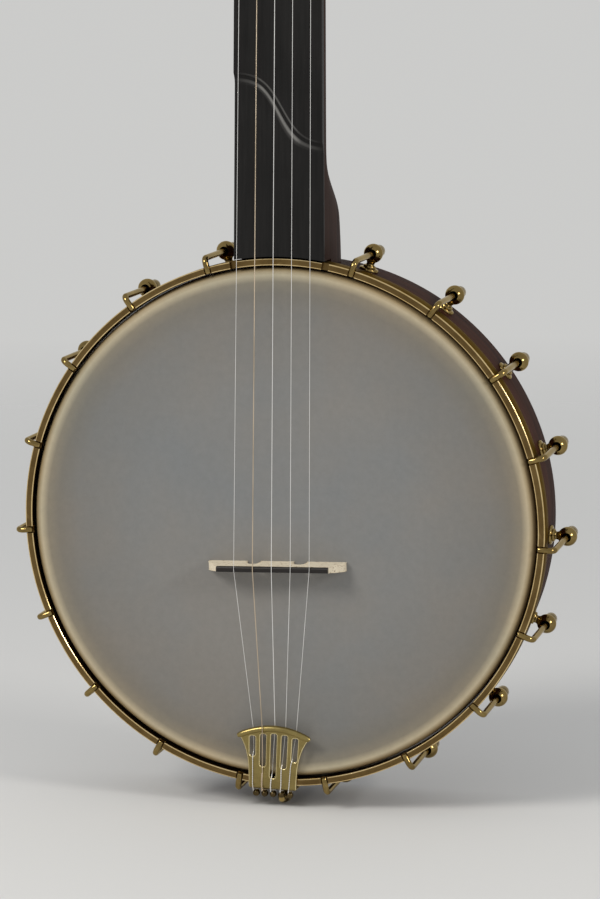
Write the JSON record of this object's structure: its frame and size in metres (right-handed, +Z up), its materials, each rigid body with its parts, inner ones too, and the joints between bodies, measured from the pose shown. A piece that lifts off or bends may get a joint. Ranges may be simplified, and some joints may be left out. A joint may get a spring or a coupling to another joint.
{
  "type": "fretless banjo",
  "caption": "Open-back fretless banjo: scooped black fingerboard, round wooden pot with hooked tension hoop, frosted head, footed bridge and fan tailpiece with ball pins.",
  "frame": {"origin": "bottom centre of the whole banjo: lowest point of the tailpiece's tab, midway between its front and back", "axes": "+Z up along the neck, -Y out of the playing face towards the listener, +X towards the first string, so the fifth string is on -X"},
  "size_m": [0.3394, 0.1034, 0.9761],
  "materials": {
    "rim_walnut": "dark walnut, satin lacquer",
    "neck_wood": "near-black stained walnut, satin",
    "black_board": "ebony or ebonised, hand-rubbed satin",
    "maple": "bare maple",
    "aged_brass": "antiqued brass, darkened in the recesses",
    "head_film": "frosted film, matt",
    "hoop_aluminium": "plain",
    "steel_string": "plain steel wire",
    "bronze_string": "bronze winding",
    "bone": "polished bone",
    "button": "ivory-coloured, polished"
  },
  "bodies": {
    "banjo": {"rim": "rim_walnut", "tone_ring": "aged_brass", "head_skin": "head_film", "flesh_hoop": "hoop_aluminium", "tension_hoop": "aged_brass", "bracket_01": "aged_brass", "bracket_02": "aged_brass", "bracket_03": "aged_brass", "bracket_04": "aged_brass", "bracket_05": "aged_brass", "bracket_06": "aged_brass", "bracket_07": "aged_brass", "bracket_08": "aged_brass", "bracket_09": "aged_brass", "bracket_10": "aged_brass", "bracket_11": "aged_brass", "bracket_12": "aged_brass", "bracket_13": "aged_brass", "bracket_14": "aged_brass", "bracket_15": "aged_brass", "bracket_16": "aged_brass", "bracket_17": "aged_brass", "bracket_18": "aged_brass", "neck": "neck_wood", "fingerboard": "black_board", "peghead_overlay": "black_board", "nut": "bone", "fifth_string_nut": "bone", "dowel_stick": "maple", "neck_brace": "aged_brass", "end_bolt": "aged_brass", "tailpiece": "aged_brass", "tailpiece_bolt": "aged_brass", "tailpiece_nut": "aged_brass", "bridge": "maple", "bridge_cap": "black_board", "fifth_peg_bushing": "aged_brass", "tuner_1_housing": "aged_brass", "tuner_2_housing": "aged_brass", "tuner_3_housing": "aged_brass", "tuner_4_housing": "aged_brass", "string_1": "steel_string", "string_2": "steel_string", "string_3": "steel_string", "string_4": "bronze_string", "string_5": "steel_string"},
    "button_1": {"tuner_1_button": "button"},
    "post_1": {"tuner_1_post": "aged_brass"},
    "button_2": {"tuner_2_button": "button"},
    "post_2": {"tuner_2_post": "aged_brass"},
    "button_3": {"tuner_3_button": "button"},
    "post_3": {"tuner_3_post": "aged_brass"},
    "button_4": {"tuner_4_button": "button"},
    "post_4": {"tuner_4_post": "aged_brass"},
    "fifth_peg": {"fifth_peg_post": "aged_brass", "fifth_peg_button": "button"}
  },
  "joints": [
    {"name": "tuner_1_button_turn", "type": "hinge", "parent": "banjo", "child": "button_1", "pos_m": [0.0231, 0.0201, 0.85307], "axis": [0, -0.9744, 0.225], "continuous": true},
    {"name": "tuner_1_post_turn", "type": "hinge", "parent": "banjo", "child": "post_1", "pos_m": [0.0231, -0.01498, 0.86117], "axis": [0, -0.9744, 0.225], "continuous": true},
    {"name": "tuner_2_button_turn", "type": "hinge", "parent": "banjo", "child": "button_2", "pos_m": [0.0231, 0.03225, 0.90569], "axis": [0, -0.9744, 0.225], "continuous": true},
    {"name": "tuner_2_post_turn", "type": "hinge", "parent": "banjo", "child": "post_2", "pos_m": [0.0231, -0.00283, 0.91379], "axis": [0, -0.9744, 0.225], "continuous": true},
    {"name": "tuner_3_button_turn", "type": "hinge", "parent": "banjo", "child": "button_3", "pos_m": [-0.0129, 0.03225, 0.90569], "axis": [0, -0.9744, 0.225], "continuous": true},
    {"name": "tuner_3_post_turn", "type": "hinge", "parent": "banjo", "child": "post_3", "pos_m": [-0.0129, -0.00283, 0.91379], "axis": [0, -0.9744, 0.225], "continuous": true},
    {"name": "tuner_4_button_turn", "type": "hinge", "parent": "banjo", "child": "button_4", "pos_m": [-0.0129, 0.0201, 0.85307], "axis": [0, -0.9744, 0.225], "continuous": true},
    {"name": "tuner_4_post_turn", "type": "hinge", "parent": "banjo", "child": "post_4", "pos_m": [-0.0129, -0.01498, 0.86117], "axis": [0, -0.9744, 0.225], "continuous": true},
    {"name": "fifth_peg_turn", "type": "hinge", "parent": "banjo", "child": "fifth_peg", "pos_m": [-0.0254, -0.01822, 0.65285], "axis": [-1, 0, 0], "continuous": true}
  ],
  "couplings": [
    {"joint": "tuner_1_post_turn", "follows": "tuner_1_button_turn", "ratio": 0.25},
    {"joint": "tuner_2_post_turn", "follows": "tuner_2_button_turn", "ratio": 0.25},
    {"joint": "tuner_3_post_turn", "follows": "tuner_3_button_turn", "ratio": 0.25},
    {"joint": "tuner_4_post_turn", "follows": "tuner_4_button_turn", "ratio": 0.25}
  ]
}
